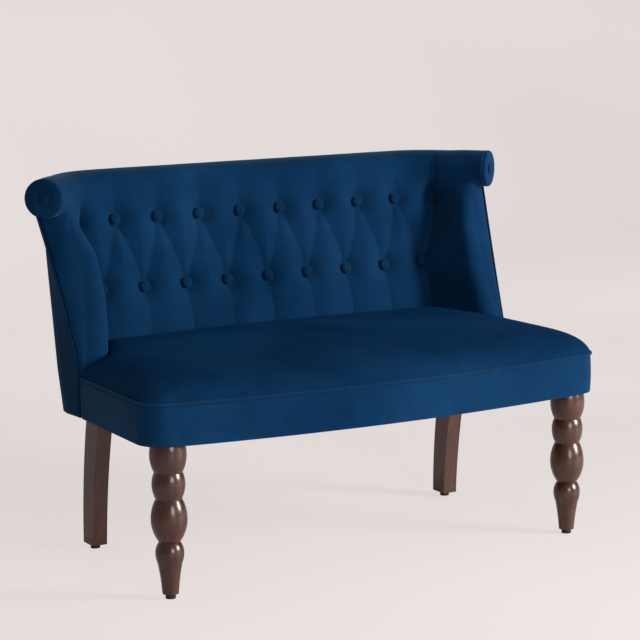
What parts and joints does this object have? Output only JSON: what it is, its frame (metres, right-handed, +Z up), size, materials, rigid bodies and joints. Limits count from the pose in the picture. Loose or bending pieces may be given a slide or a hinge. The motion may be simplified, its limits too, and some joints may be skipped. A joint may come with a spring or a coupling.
{
  "type": "two-seater sofa",
  "caption": "Compact two-seater sofa with a buttoned, rolled back that curves forward into short wings, a piped crowned seat, turned front legs and swept rear legs.",
  "frame": {"origin": "on the floor, under the middle of the overall box", "axes": "+X across the sofa to the right as seen from the front, +Y from the front to the back, +Z up"},
  "size_m": [1.138, 0.6579, 0.78],
  "materials": {
    "velvet": "cut pile velvet, petrol blue",
    "dark_walnut": "dark stain under satin lacquer",
    "frame_timber": "sawn softwood",
    "plywood": "raw plywood",
    "foam": "open cell foam",
    "felt": "needled felt",
    "steel": "zinc plated",
    "nylon": "moulded, matt",
    "black_cloth": "spunbond cloth",
    "webbing": "woven webbing",
    "twine": "waxed twine"
  },
  "bodies": {
    "sofa": {"seat_front_rail": "frame_timber", "seat_rear_rail": "frame_timber", "seat_side_rail_left": "frame_timber", "seat_side_rail_right": "frame_timber", "front_leg_block_left": "frame_timber", "front_leg_block_right": "frame_timber", "rear_leg_block_left": "frame_timber", "rear_leg_block_right": "frame_timber", "seat_centre_rail": "frame_timber", "front_leg_left": "dark_walnut", "front_leg_right": "dark_walnut", "rear_leg_left": "dark_walnut", "rear_leg_right": "dark_walnut", "foot_inserts": "steel", "leg_bolts": "steel", "leg_tee_nuts": "steel", "back_bottom_rail": "frame_timber", "back_top_rail": "frame_timber", "back_post_outer_left": "frame_timber", "back_post_outer_right": "frame_timber", "back_post_inner_left": "frame_timber", "back_post_inner_right": "frame_timber", "wing_stile_left": "frame_timber", "wing_stile_right": "frame_timber", "wing_board_left": "plywood", "wing_board_right": "plywood", "back_bolts": "steel", "seat_springs": "steel", "spring_clips": "nylon", "seat_spring_pad": "felt", "seat_cover": "velvet", "seat_foam": "foam", "seat_band": "velvet", "seat_piping": "velvet", "inside_back": "velvet", "back_foam": "foam", "back_webbing": "webbing", "tuft_buttons_lower": "velvet", "tuft_buttons_upper": "velvet", "button_twine": "twine", "wing_cover_left": "velvet", "wing_cover_right": "velvet", "wing_foam_left": "foam", "wing_foam_right": "foam", "outside_wing_left": "velvet", "outside_wing_right": "velvet", "wing_welt_left": "velvet", "wing_welt_right": "velvet", "outside_back": "velvet", "roll_cover": "velvet", "roll_foam": "foam", "scroll_cap_left": "velvet", "scroll_cap_right": "velvet", "scroll_buttons": "velvet", "dust_cover": "black_cloth"},
    "foot_front_left": {"levelling_foot_front_left": "nylon"},
    "foot_front_right": {"levelling_foot_front_right": "nylon"},
    "foot_rear_left": {"levelling_foot_rear_left": "nylon"},
    "foot_rear_right": {"levelling_foot_rear_right": "nylon"}
  },
  "joints": [
    {"name": "foot_front_left_screw", "type": "slide", "parent": "sofa", "child": "foot_front_left", "axis": [0, 0, -1], "range_m": [0, 0.008]},
    {"name": "foot_front_right_screw", "type": "slide", "parent": "sofa", "child": "foot_front_right", "axis": [0, 0, -1], "range_m": [0, 0.008]},
    {"name": "foot_rear_left_screw", "type": "slide", "parent": "sofa", "child": "foot_rear_left", "axis": [0, 0, -1], "range_m": [0, 0.008]},
    {"name": "foot_rear_right_screw", "type": "slide", "parent": "sofa", "child": "foot_rear_right", "axis": [0, 0, -1], "range_m": [0, 0.008]}
  ]
}
